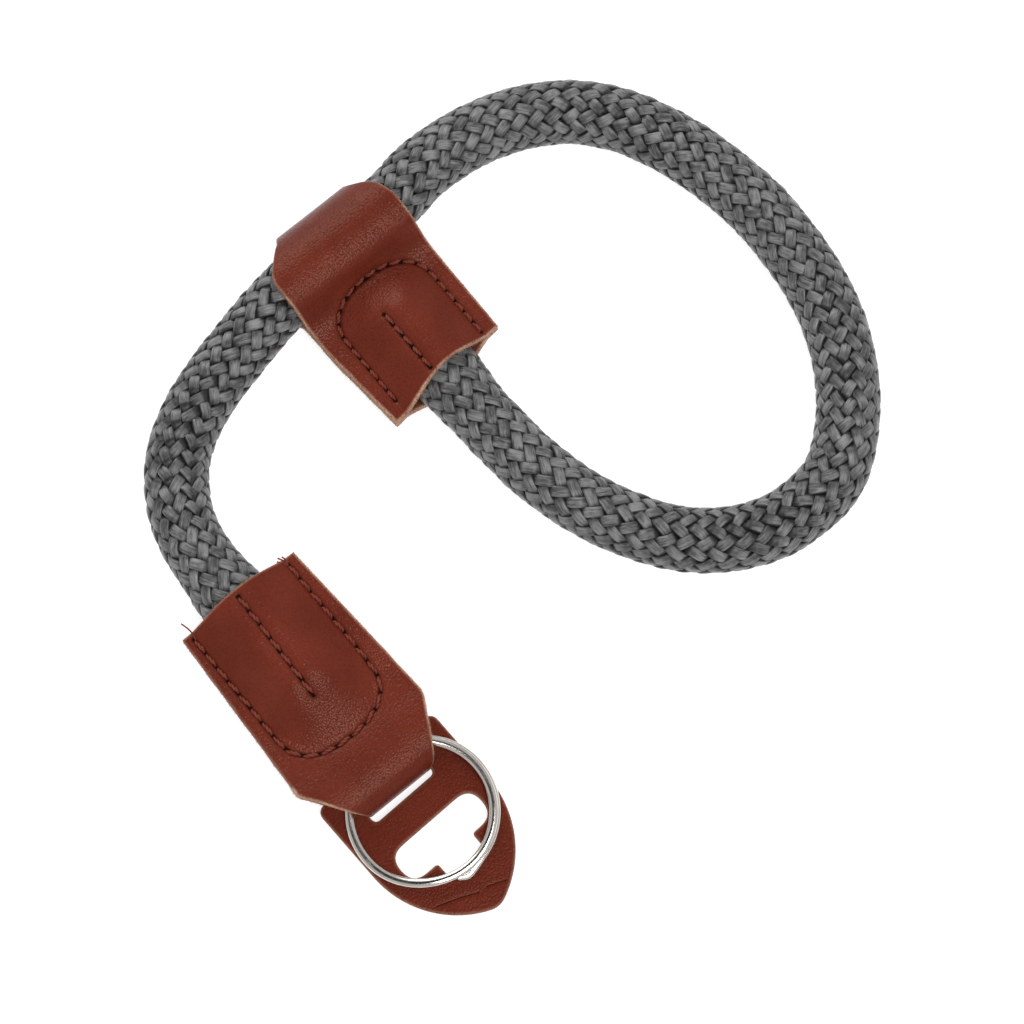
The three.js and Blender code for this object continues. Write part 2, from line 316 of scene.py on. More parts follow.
def makeCamera(settings):
    azimuth, elevation = math.radians(settings["azimuth"]), math.radians(settings["elevation"])
    back = Vector((math.sin(azimuth) * math.cos(elevation),
                   -math.cos(azimuth) * math.cos(elevation),
                   math.sin(elevation)))
    data = bpy.data.cameras.new("photoCamera")
    data.lens = settings["lens"]
    data.sensor_width = settings["sensor"]
    data.clip_start = 0.01
    camera = bpy.data.objects.new("photoCamera", data)
    camera.location = Vector(toRow(settings["lookAt"])) + back * settings["distance"] / 1000.0
    turnTo(camera, back)
    scene.camera = camera


makeCamera(cameraSettings)
print("camera placed")


# shared finishes

grainSizes = {"warpScale": 900.0, "warp": 0.00015, "poreScale": 5200.0, "pores": 0.25}
fibreSizes = {"apart": 7.31, "patchStretch": 0.2, "patchApart": 3.7, "fine": 0.55, "patches": 0.45}


def makeGrainGroup(sizes):
    # pebbled leather grain: a height for bump, and a slow tone for colour
    tree, given, ending = shaderGroup("leatherGrain", Vector="Vector", Float="Pebble Blotch")
    place = given.Vector
    warp = speckle(place, sizes["warpScale"], 2.0, "Color")
    bent = vectorCalc("ADD", place, scaled(warp, sizes["warp"]))
    pebbles = outOf(tree, "ShaderNodeTexVoronoi", {"Vector": bent, "Scale": 1000.0 / given.Pebble},
                    "Distance", feature="F1")
    domes = pebbles**2.0 * -2.0 + 1.0
    pores = speckle(place, sizes["poreScale"], 3.0, Roughness=0.6)
    plug(tree, ending, {"Height": domes + pores * sizes["pores"],
                        "Tone": speckle(place, 1000.0 / given.Blotch, 3.0)})
    return tree


def makeFibreGroup(sizes):
    # fine fibres that run along a strand or thread
    tree, given, ending = shaderGroup("strandFibre", Float="Along Across Strand Stretch Fineness")
    along, across, strand = given.Along, given.Across, given.Strand
    drawnOut = vectorOf(along * given.Stretch, across * given.Fineness, strand * sizes["apart"])
    fibres = speckle(drawnOut, 1.0, 4.0, Roughness=0.65)
    broad = vectorOf(along * sizes["patchStretch"], across, strand * sizes["patchApart"])
    patches = speckle(broad, 1.0, 2.0)
    plug(tree, ending, {"Height": fibres, "Tone": fibres * sizes["fine"] + patches * sizes["patches"]})
    return tree


grainGroup = makeGrainGroup(grainSizes)
fibreGroup = makeFibreGroup(fibreSizes)


def newMaterial(name):
    material = bpy.data.materials.new(name)
    material.use_nodes = True
    tree = material.node_tree
    return material, tree, tree.nodes["Principled BSDF"]


def placeOn(tree):
    return outOf(tree, "ShaderNodeTexCoord", output="Object")


def mark(tree, name):
    return outOf(tree, "ShaderNodeAttribute", output="Fac", attribute_name=name)


def heightAndTone(tree, group, inputs):
    outputs = addNode(tree, "ShaderNodeGroup", inputs, node_tree=group).outputs
    return Value(outputs["Height"]), Value(outputs["Tone"])


def bumped(height, strength, distance):
    inputs = {"Height": height, "Strength": strength, "Distance": distance}
    return outOf(height.tree, "ShaderNodeBump", inputs)


leatherLook = {
    "dark": (0.122, 0.0176, 0.0086, 1), "light": (0.152, 0.0236, 0.0120, 1), "toneRange": (0.3, 0.7),
    "raw": (0.66, 0.42, 0.29, 1), "rawRange": (0.25, 0.6), "rawScale": 3800.0,
    "inside": (0.15, 0.045, 0.028, 1),
    # painted shade, for stitch holes, seam grooves and the guard's creases
    "shadedHole": (0.012, 0.0035, 0.0025, 1), "shadedHoleRange": (0.25, 0.8),
    "pebble": 0.35, "pebbleRange": (0.2, 0.9), "pebbleShade": 0.86,  # colour left in the painted shade between pebbles
    "blotch": 9.0,
    "shine": 0.19, "wornShine": 0.05, "shineTint": (1.0, 0.76, 0.62, 1),
    "roughness": 0.26, "wornRoughness": 0.5,  # added where the leather is raw
    "bump": 0.38, "bumpHigh": 0.0001,
}
guardLook = {**leatherLook, "dark": (0.110, 0.0146, 0.0066, 1), "light": (0.136, 0.0194, 0.0092, 1),
             "shine": 0.11, "bump": 0.17}


def makeLeather(name, look):
    material, tree, shader = newMaterial(name)
    place = placeOn(tree)
    height, tone = heightAndTone(tree, grainGroup, {
        "Vector": place, "Pebble": look["pebble"], "Blotch": look["blotch"]})
    fuzz = speckle(place, look["rawScale"], 4.0)
    inside = mark(tree, "inside")
    raw = mark(tree, "rawEdge") * ramp(fuzz, *look["rawRange"])
    # painted shade in stitch holes, along seam grooves and in creases
    shadedHole = ramp(mark(tree, "shadedHole"), *look["shadedHoleRange"])
    colour = mixColour(ramp(tone, *look["toneRange"]), look["dark"], look["light"])
    # painted shade between the grain's pebbles
    colour = dimmed(colour, ramp(height, *look["pebbleRange"], look["pebbleShade"], 1.0))
    for share, key in ((inside, "inside"), (raw, "raw"), (shadedHole, "shadedHole")):
        colour = mixColour(share, colour, look[key])
    worn = calc("MAXIMUM", calc("MAXIMUM", raw, inside), shadedHole)
    plug(tree, shader, {
        "Base Color": colour,
        "Roughness": worn * look["wornRoughness"] + look["roughness"],
        "Specular IOR Level": ramp(worn, 0.0, 1.0, look["shine"], look["wornShine"]),
        "Specular Tint": look["shineTint"],
        "Normal": bumped(height + raw * fuzz, look["bump"], look["bumpHigh"]),
    })
    return material


leather = makeLeather("tabLeather", leatherLook)
guardLeather = makeLeather("guardLeather", guardLook)

fibreLook = {
    "toneRange": (0.37, 0.63),
    "diveShadeRange": (0.2, 0.54),  # of a strand's lift, over which the painted shade where it dives under others fades out
    "sideShadeRange": (0.43, 0.5),  # of the way across a strand, over which painted shade darkens its sides
    # painted highlight on a strand's crown
    "crownHighlightRange": (0.2, 1.0), "crownHighlightPower": 6.0,
    "bump": 0.6,
}
ropeLook = {
    **fibreLook,
    "dark": (0.028, 0.028, 0.0285, 1), "light": (0.17, 0.17, 0.171, 1),
    "crownHighlight": (0.70, 1.26),  # painted shade on a strand's flanks and painted highlight on its top, as shares of its colour
    "diveShadeShare": 0.10, "side": 0.22,  # share of the colour left in the painted shade where a strand dives under others, and along its sides
    "stretch": 0.6, "fineness": 7.0,
    "roughness": 0.36, "shine": 0.5, "sheen": 0.04, "bumpHigh": 0.0002,
}
threadLook = {
    **fibreLook,
    "dark": (0.060, 0.0105, 0.0060, 1), "light": (0.250, 0.056, 0.034, 1),
    "crownHighlight": (1.0, 1.0), "diveShadeShare": 1.0, "side": 1.0,
    "stretch": 0.8, "fineness": 3.0,
    "roughness": 0.55, "shine": 0.15, "sheen": 0.02, "bumpHigh": 0.00005,
}


def makeFibreLook(name, look):
    material, tree, shader = newMaterial(name)
    along, across, strand, lift = (mark(tree, key) for key in ("along", "across", "strand", "lift"))
    height, tone = heightAndTone(tree, fibreGroup, {
        "Along": along, "Across": across, "Strand": strand,
        "Stretch": look["stretch"], "Fineness": look["fineness"]})
    # painted shade where a strand dives under others and along its sides, and a painted highlight on its
    # crown
    diveShade = ramp(lift, *look["diveShadeRange"], look["diveShadeShare"], 1.0)
    side = ramp(abs(across), *look["sideShadeRange"], 1.0, look["side"])
    top = ramp(lift**look["crownHighlightPower"], *look["crownHighlightRange"], *look["crownHighlight"])
    colour = mixColour(ramp(tone, *look["toneRange"]), look["dark"], look["light"])
    plug(tree, shader, {
        "Base Color": dimmed(colour, diveShade * side * top),
        "Roughness": look["roughness"],
        "Specular IOR Level": look["shine"],
        "Sheen Weight": look["sheen"],
        "Sheen Roughness": 0.45,
        "Normal": bumped(height, look["bump"], look["bumpHigh"]),
    })
    return material


ropeFibre = makeFibreLook("ropeFibre", ropeLook)
threadFibre = makeFibreLook("seamThread", threadLook)

# the core is coloured almost black: painted shade for the gaps between the strands
coreShadeLook = {"colours": [(0.012, 0.012, 0.012, 1), (0.035, 0.035, 0.036, 1)], "scale": 2500.0, "shine": 0.5}
fuzzLook = {"colours": [(0.42, 0.20, 0.12, 1), (0.72, 0.50, 0.37, 1)], "scale": 700.0, "shine": 0.1,
            "ramp": (0.35, 0.65)}


def makeDull(name, look):
    # rough, in two mixed colours
    material, tree, shader = newMaterial(name)
    share = speckle(placeOn(tree), look["scale"], 3.0)
    if "ramp" in look:
        share = ramp(share, *look["ramp"])
    plug(tree, shader, {"Base Color": mixColour(share, *look["colours"]), "Roughness": 0.9,
                        "Specular IOR Level": look["shine"]})
    return material


ropeCoreShade = makeDull("ropeCoreShade", coreShadeLook)
rawFuzz = makeDull("rawFuzz", fuzzLook)

ringLook = {
    "colour": (0.76, 0.72, 0.67, 1), "worn": (0.66, 0.615, 0.56, 1), "wornRange": (0.35, 0.7),
    "roughness": (0.14, 0.21), "roughRange": (0.3, 0.75), "hazeScale": 420.0,
    "scratchScale": 2600.0, "scratchShape": (1.0, 1.0, 9.0), "bump": 0.02, "bumpHigh": 0.00003,
}


def makeNickel(look):
    material, tree, shader = newMaterial("ringNickel")
    place = placeOn(tree)
    haze = speckle(place, look["hazeScale"], 5.0)
    long = outOf(tree, "ShaderNodeMapping", {"Vector": place, "Scale": look["scratchShape"]})
    scratches = speckle(long, look["scratchScale"], 3.0, Distortion=0.6)
    plug(tree, shader, {
        "Base Color": mixColour(ramp(haze, *look["wornRange"]), look["colour"], look["worn"]),
        "Roughness": ramp(haze, *look["roughRange"], *look["roughness"]),
        "Metallic": 1.0,
        "Normal": bumped(scratches, look["bump"], look["bumpHigh"]),
    })
    return material


print("finishes made")


# rope: a core, and strands of two hands that pass over two and under two

ropeRoute = [
    (0, 17.8, 5.7), (0, 24, 5.7), (-0.1, 32, 5.7), (-0.6, 40, 5.6), (-0.5, 47.5, 5.1),
    (0.8, 54.8, 5), (3.5, 60.1, 5), (7.3, 64.4, 5), (12.8, 67.8, 5), (19.4, 70.2, 5.1),
    (26.8, 71.9, 5.7), (36, 73.6, 6.5), (48.3, 74.4, 6.6), (60.6, 75.3, 6.5), (66.5, 76.3, 6),
    (72.1, 76.4, 5.4), (79.6, 75.2, 5), (86.4, 72.5, 5), (92.5, 68.3, 5), (97.2, 62.7, 5),
    (100.7, 55.8, 5), (103.8, 45, 5), (105, 34, 5), (103.6, 20.5, 5), (101, 12.6, 5),
    (96.8, 5.3, 5), (91.9, -0.2, 5), (85.2, -4.7, 5), (77.6, -5.6, 5), (71, -4.4, 5),
    (65.3, -1.5, 5), (60.5, 2.5, 5), (56.5, 7.8, 5), (52.2, 16.5, 5), (49.7, 26, 5),
    (48.7, 36, 5.1), (48.3, 46, 5.6), (48.3, 55, 5.7), (48.3, 62, 5.7),
]
ropeSizes = {
    "diameter": 10.0, "exit": (-0.6, 40, 5.6), "routeSteps": 640,
    "core": {"radius": 3.75, "sides": 20},
    "strands": 16, "stepsPerCrossing": 4.5,
    "crossing": 1.5,  # length of rope from one crossing to the next
    "middleRadius": 4.14, "wave": 0.64, "waveFlat": 1.7,
    "wander": 0.5, "uneven": 0.2,  # sideways, as a share of the crossing, and up and down
    "strandWide": 1.8, "strandHigh": 0.84, "strandCorner": 0.24,
    "strandLonger": 1.2,  # a strand's length, as a share of the rope's
}
braidNoise = {"along": 0.22, "strand": 3.3, "hand": 9.1}
braidNumbers = {"stretch": 1.7, "strand": 5.3}  # they set the fibres of each stretch apart
pocketSizes = {
    "z": 5.7, "pressedHigh": 0.76, "pressedWide": 1.14, "fade": 7.0, "reach": 9.0, "tipHigh": 0.58,
    "places": [
        {"x": 0.0, "mouthY": 40.0, "inward": -1, "depth": 24.0, "tipFrom": 15.5, "tipLength": 6.7},
        {"x": 48.3, "mouthY": 47.0, "inward": 1, "depth": 16.0, "tipFrom": 10.5, "tipLength": 4.5},
    ],
}


def pressInPockets(mesh, sizes):
    # flattens what lies inside the two leather pockets
    points = np.zeros(len(mesh.vertices) * 3)
    mesh.vertices.foreach_get("co", points)
    points = points.reshape(-1, 3) * 1000.0 + footprintMiddle
    for pocket in sizes["places"]:
        depth = (points[:, 1] - pocket["mouthY"]) * pocket["inward"]
        held = (np.abs(points[:, 0] - pocket["x"]) < sizes["reach"]) & (depth < pocket["depth"])
        share = np.where(held, np.clip((depth + sizes["fade"]) / sizes["fade"], 0, 1), 0)
        wide = 1 + (sizes["pressedWide"] - 1) * share
        tip = np.clip((depth - pocket["tipFrom"]) / pocket["tipLength"], 0, 1) * held
        high = (1 + (sizes["pressedHigh"] - 1) * share) * (1 + (sizes["tipHigh"] - 1) * tip)
        points[:, 0] = pocket["x"] + (points[:, 0] - pocket["x"]) * wide
        points[:, 2] = sizes["z"] + (points[:, 2] - sizes["z"]) * high
    mesh.vertices.foreach_set("co", toRow(points).ravel())
    mesh.update()
    return mesh


def sweep(tree, curve, profile):
    inputs = {"Curve": curve, "Profile Curve": profile, "Fill Caps": True}
    return outOf(tree, "GeometryNodeCurveToMesh", inputs)


def straight(tree, end, count):
    line = outOf(tree, "GeometryNodeCurvePrimitiveLine", {"Start": (0, 0, 0), "End": end})
    return outOf(tree, "GeometryNodeResampleCurve", {"Curve": line, "Count": count}, mode="COUNT")


def copies(tree, geometry, amount):
    # the copies, and each one's number
    outputs = addNode(tree, "GeometryNodeDuplicateElements",
                      {"Geometry": geometry, "Amount": amount}, domain="SPLINE").outputs
    return Value(outputs[0]), Value(outputs["Duplicate Index"])


def makeTubeTree():
    tree, given, ending = geometryTree("plainTube", Float="radius", Int="sides")
    line = outOf(tree, "GeometryNodeMeshToCurve", {"Mesh": given.Geometry})
    circle = outOf(tree, "GeometryNodeCurvePrimitiveCircle",
                   {"Resolution": given.sides, "Radius": given.radius})
    return endTree(tree, given, ending, sweep(tree, line, circle))


def makeBraidTree():
    tree, given, ending = geometryTree(
        "ropeBraid", Int="strands steps", Float="hand crossings length middleRadius wave waveFlat "
        "wander uneven strandWide strandHigh strandCorner")
    add, hand = partial(outOf, tree), given.hand
    route = add("GeometryNodeMeshToCurve", {"Mesh": given.Geometry})
    strands, number = copies(tree, straight(tree, (0, 0, 1), given.steps), given.strands)
    share = add("GeometryNodeSplineParameter", output="Factor")
    # angle round the rope: an even start, then half a strand's share at each crossing
    turned = number * 2.0 + share * given.crossings * hand
    # no strand lies quite evenly
    spotAlong = vectorOf(share * (given.length * braidNoise["along"]),
                         number * braidNoise["strand"], hand * braidNoise["hand"])
    parts = addNode(tree, "FunctionNodeSeparateColor", {0: speckle(spotAlong, 1.0, 1.0, "Color")}).outputs
    sideways = (Value(parts[0]) - 0.5) * given.wander
    unevenly = (Value(parts[1]) - 0.5) * given.uneven
    angle = (sideways * 2.0 + turned) * (math.pi / given.strands)
    # over two and under two, with flat tops
    wave = calc("COSINE", (turned - 0.5) * (math.pi / 2)) * hand
    flat = calc("TANH", wave * given.waveFlat) / calc("TANH", given.waveFlat)
    radius = unevenly * 2.0 + (given.middleRadius + flat * given.wave)
    sample = addNode(tree, "GeometryNodeSampleCurve", {"Curves": route, "Factor": share}, mode="FACTOR")
    middle, tangent, normal = (Value(sample.outputs[key]) for key in ("Position", "Tangent", "Normal"))
    side = vectorCalc("CROSS_PRODUCT", tangent, normal)
    outward = vectorCalc("ADD", scaled(normal, calc("COSINE", angle)), scaled(side, calc("SINE", angle)))
    place = vectorCalc("ADD", middle, scaled(outward, radius))
    laid = add("GeometryNodeSetPosition", {"Geometry": strands, "Position": place})
    faced = add("GeometryNodeSetCurveNormal", {"Curve": laid, "Normal": outward}, mode="FREE")
    # each stretch on top gets a number of its own, which changes while the strand is under others
    stretch = calc("FLOOR", (turned + 0.5 + hand) / 4.0)
    marked = store(faced, along=share * given.length, lift=flat * 0.5 + 0.5,
                   strand=stretch * braidNumbers["stretch"] + number * braidNumbers["strand"])
    # a flat strand with rounded upper corners
    box = add("GeometryNodeCurvePrimitiveQuadrilateral",
              {"Width": given.strandHigh, "Height": given.strandWide}, mode="RECTANGLE")
    spot = addNode(tree, "ShaderNodeSeparateXYZ", {0: add("GeometryNodeInputPosition")}).outputs
    rounding = calc("GREATER_THAN", Value(spot["X"]), 0.0) * given.strandCorner
    profile = add("GeometryNodeFilletCurve", {"Curve": box, "Radius": rounding, "Count": 1}, mode="POLY")
    profile = store(profile, across=Value(spot["Y"]) / given.strandWide)
    return endTree(tree, given, ending, sweep(tree, marked, profile))


def makeRope(route, sizes):
    line = evenly(smoothLine(route, 20), sizes["routeSteps"])
    length = lengthsAlong(line)[-1]
    guide = addGuide("rope", [line])
    coreValues = treeValues(sizes["core"], ropeCoreShade, "radius", "sides")
    meshes = [runTree("rope_core", guide, tubeTree, coreValues)]
    crossings = length / sizes["crossing"]
    values = treeValues(sizes, ropeFibre, "middleRadius wave uneven strandWide strandHigh strandCorner",
                        "strands waveFlat wander")
    values |= {"crossings": crossings, "steps": int(crossings * sizes["stepsPerCrossing"]),
               "length": length * sizes["strandLonger"]}
    tree = makeBraidTree()
    for name, hand in (("rope_braid_right", 1.0), ("rope_braid_left", -1.0)):
        meshes.append(runTree(name, guide, tree, {**values, "hand": hand}))
    core, right, left = [addPiece(m.name, pressInPockets(m, pocketSizes)) for m in meshes]
    dress(right, "strap", "rope", "rope")
    dress(left, "strap", "rope")
    dress(core, "strap", "rope")
    print("rope made, length mm:", round(length, 1), "triangles:",
          [sum(len(p.vertices) - 2 for p in m.polygons) for m in meshes])


tubeTree = makeTubeTree()
makeRope(ropeRoute, ropeSizes)


# sewn leather holders: one strip folded in two round its pocket

edgeSteps = [0.0, 0.06, 0.16, 0.3, 0.5]  # rows and columns close to a cut edge, which is rounded
edgeThick = [0.62, 0.80, 0.94, 1.0, 1.0]
edgeRaw = [1.0, 1.0, 0.75, 0.25, 0.0]

holderSizes = {
    "step": 0.28, "seamSamples": 400,
    "pocketFull": 2.4,  # 2 is a round pocket end, more is squarer
    "pocketRound": 0.6,  # 1 is a round swell, less has softer flanks
    "backCutReach": 6.0,
    "foldBare": 8.0,  # no seam this close to the fold
    "foldRaw": 12.5,  # edges count as the fold's this close to it
    "rawMean": 0.85,
    # a groove's dark is its painted shade along a seam, as a share of a hole's
    "groove": {"half": 0.5, "depth": 0.24, "dark": 0.78},
    "shadedHole": {"half": 0.5, "depth": 0.2},
    # how high and how close together the ripples are
    "ripples": {"cut": (0.08, 0.35), "face": (0.06, 0.13), "shadedHole": (0.5, 0.9), "raw": (0.5, 0.3)},
}
tabSizes = {
    "x": 0.0, "foldSide": -1, "seed": 3.0,
    "mouthY": 40.0, "mouthReach": 6.0, "frontMouthShift": 0.3, "backMouthShift": 0.0, "mouthSkew": 0.0,
    "seamHalf": 9.4, "pocketStraightY": 23.0, "pocketDome": 11.6, "pocketFall": 0.75, "pocketSwell": 4.8,
    "middleSeamPress": 0.55, "middleSeamReach": 1.9, "middleSeamFade": 7.0,
    "backCut": 0.5,  # how much nearer the fold the back layer's corners are cut
    "left": [(0.0, 5.6), (1.2, 5.9), (2.2, 6.6), (3.8, 7.8), (10.4, 12.3), (11.2, 12.6), (43.0, 11.1)],
    "right": [(0.0, 6.2), (1.2, 6.95), (2.2, 7.75), (5.3, 9.5), (11.0, 12.7), (11.8, 12.95), (43.0, 11.1)],
    "front": [(40, 6.2), (30, 6.2), (21, 6.15), (16, 5.9), (11.6, 5.85), (8.6, 6.25)],
    "fold": {"y": 6.0, "z": 2.2, "reach": 5.35, "rise": 4.25, "under": 1.55, "sweep": 90, "full": 0.78},
    "back": [(6.8, 0.68), (9, 1.8), (11.6, 3.75), (16, 4.1), (21, 4.55), (30, 4.6), (40, 4.6)],
    "seam": {"left": -9.65, "right": 9.15, "turnY": 18.4, "endY": 11.4, "mouthY": 38.9, "pitch": 2.85},
    "middleSeam": {"from": (-0.3, 39.0), "to": (-1.0, 19.7), "pitch": 2.77},
    "rawLeft": 0.3, "rawRight": 0.75, "rawMouth": 0.45, "rawFold": 1.0,
}
keeperSizes = {
    "x": 48.3, "foldSide": 1, "seed": 11.0,
    "mouthY": 47.0, "mouthReach": 7.0, "frontMouthShift": 0.9, "backMouthShift": -0.9, "mouthSkew": 0.1,
    "seamHalf": 8.9, "pocketStraightY": 59.0, "pocketDome": 8.2, "pocketFall": 1.0, "pocketSwell": 4.8,
    "middleSeamPress": 0.35, "middleSeamReach": 1.5, "middleSeamFade": 3.0,
    "backCut": 0.0,
    "left": [(2.0, 7.3), (4.2, 8.2), (8.6, 12.2), (10.2, 12.8), (26.0, 12.5), (44.0, 10.9)],
    "right": [(2.6, 6.8), (4.0, 7.8), (5.4, 9.3), (7.2, 10.6), (10.0, 11.4), (26.0, 11.4), (44.0, 11.3)],
    "front": [(47, 6.2), (55, 6.2), (60, 6.25), (63.5, 6.45), (65.6, 6.95), (67.2, 7.95), (68.6, 9.5)],
    "fold": {"y": 74.2, "z": 6.6, "reach": 6.9, "rise": 6.05, "under": 6.05, "sweep": 128, "full": 1.0},
    "back": [(68.0, 4.7), (66.2, 4.85), (62, 4.7), (55, 4.6), (47, 4.6)],
    "seam": {"left": -9.05, "right": 8.4, "turnY": 61.2, "endY": 67.4, "mouthY": 48.9, "pitch": 2.2},
    "middleSeam": {"from": (-1.9, 48.7), "to": (-2.0, 60.1), "pitch": 2.25},
    "rawLeft": 0.9, "rawRight": 0.75, "rawMouth": 0.9, "rawFold": 0.45,
}


def sideLine(sizes):
    fold = sizes["fold"]
    angles = np.radians(np.linspace(fold["sweep"], -fold["sweep"], 15))
    across, up = (fuller(part, fold["full"]) for part in (np.cos(angles), np.sin(angles)))
    arc = np.stack([fold["y"] + sizes["foldSide"] * fold["reach"] * across,
                    fold["z"] + np.where(angles > 0, fold["rise"], fold["under"]) * up], axis=1)
    return smoothLine(np.vstack([sizes["front"], arc, sizes["back"]]), 24)


def edgedSteps(length, step):
    # even steps with a few closer ones beside both ends
    inner = np.linspace(0, length, max(3, round(length / step)) + 1)[3:-3]
    return np.concatenate([edgeSteps, inner, length - np.array(edgeSteps[::-1])])


def stitchPoints(line, pitch):
    # holes, and a point between each two for the stitch
    return evenly(line, 2 * round(lengthsAlong(line)[-1] / pitch) + 1)


def seamLoop(seam, x):
    # a U: up one side, round a full curve, down the other
    half, middle = (seam["right"] - seam["left"]) / 2, (seam["right"] + seam["left"]) / 2
    reach = seam["endY"] - seam["turnY"]
    angles = np.linspace(math.pi, 0, 60)
    full = 2 / holderSizes["pocketFull"]
    bend = np.stack([middle + half * fuller(np.cos(angles), full),
                     seam["turnY"] + reach * fuller(np.sin(angles), full)], axis=1)
    ends = [(seam["left"], seam["mouthY"])], [(seam["right"], seam["mouthY"])]
    return stitchPoints(np.vstack([ends[0], bend, ends[1]]) + (x, 0), seam["pitch"])


def seamStraight(seam, x):
    return stitchPoints(np.array([seam["from"], seam["to"]]) + (x, 0), seam["pitch"])


def pocketShape(sizes, x, stationY):
    # how far the pocket swells over the rope's end, less where its middle seam presses it in
    past = np.maximum(0, (stationY - sizes["pocketStraightY"]) * sizes["foldSide"])
    ended = (past / sizes["pocketDome"])**sizes["pocketFall"]
    full = holderSizes["pocketFull"]
    out = np.minimum(1, (np.abs(x / sizes["seamHalf"])**full + ended**full)**(1 / full))
    rounded = holderSizes["pocketRound"]
    bell = rounded * np.cos(math.pi / 2 * out) + (1 - rounded) / 2 * (1 + np.cos(math.pi * out))
    seam = seamStraight(sizes["middleSeam"], 0)
    seamX = np.interp(stationY, np.sort(seam[:, 1]), seam[np.argsort(seam[:, 1]), 0])
    seamEnd = sizes["middleSeam"]["to"][1]
    seamed = np.clip(1 - (stationY - seamEnd) * sizes["foldSide"] / sizes["middleSeamFade"], 0, 1)
    press = seamed * sizes["middleSeamPress"] * np.exp(-((x - seamX) / sizes["middleSeamReach"])**2)
    return bell, bell * (sizes["pocketSwell"] - press)


def rippled(kind, x, y, seed):
    size, closeness = holderSizes["ripples"][kind]
    return size * ripple(closeness * x, closeness * y, seed)


def sunkSeams(sizes, seams, x, y, fromFold):
    # how far thread pulls the outer face in along the seams, and the painted shade in its holes and grooves
    grooved, holed = holderSizes["groove"], holderSizes["shadedHole"]
    flat = np.stack([sizes["x"] + x, y], -1).reshape(-1, 2)
    sewn = fromFold > holderSizes["foldBare"]
    uneven = 1 + rippled("shadedHole", x, y, sizes["seed"] + 2)
    toSeam = nearest(flat, [evenly(s, holderSizes["seamSamples"]) for s in seams]).reshape(x.shape)
    toHole = nearest(flat, [s[::2] for s in seams]).reshape(x.shape)
    groove = np.exp(-(toSeam / grooved["half"])**2) * sewn
    shadedHole = np.exp(-(toHole / (holed["half"] * uneven))**2) * sewn
    sunk = grooved["depth"] * groove + holed["depth"] * shadedHole
    return sunk, np.maximum(shadedHole, grooved["dark"] * uneven * groove)


def rawAmount(sizes, x, y, fromFold, byMouth):
    # raw edges show more on some sides than on others
    amount = np.where(x > 0, sizes["rawRight"], sizes["rawLeft"])
    amount = np.where(fromFold < holderSizes["foldRaw"], sizes["rawFold"], amount)
    amount = np.where(byMouth, sizes["rawMouth"], amount)
    return amount * np.clip(holderSizes["rawMean"] + rippled("raw", x, y, sizes["seed"] + 9), 0, 1)


def leatherMarks(raw, dark):
    # raw edges, and painted shade in stitch holes, seam grooves and creases, on the outer face and then on
    # the inner one
    return {"rawEdge": np.concatenate([raw, raw]), "shadedHole": np.concatenate([dark, 0 * dark]),
            "inside": np.repeat([0.0, 1.0], len(raw))}


def shellFaces(rows, count):
    # quads of both faces of a sheet and of its four edges
    at = np.arange(rows * count).reshape(rows, count)
    under = at + rows * count
    quads = [(at[:-1, :-1], at[1:, :-1], at[1:, 1:], at[:-1, 1:]),
             (under[:-1, :-1], under[:-1, 1:], under[1:, 1:], under[1:, :-1]),
             (at[:-1, 0], under[:-1, 0], under[1:, 0], at[1:, 0]),
             (at[:-1, -1], at[1:, -1], under[1:, -1], under[:-1, -1]),
             (at[0, :-1], at[0, 1:], under[0, 1:], under[0, :-1]),
             (at[-1, :-1], under[-1, :-1], under[-1, 1:], at[-1, 1:])]
    return np.vstack([np.stack(q, -1).reshape(-1, 4) for q in quads])


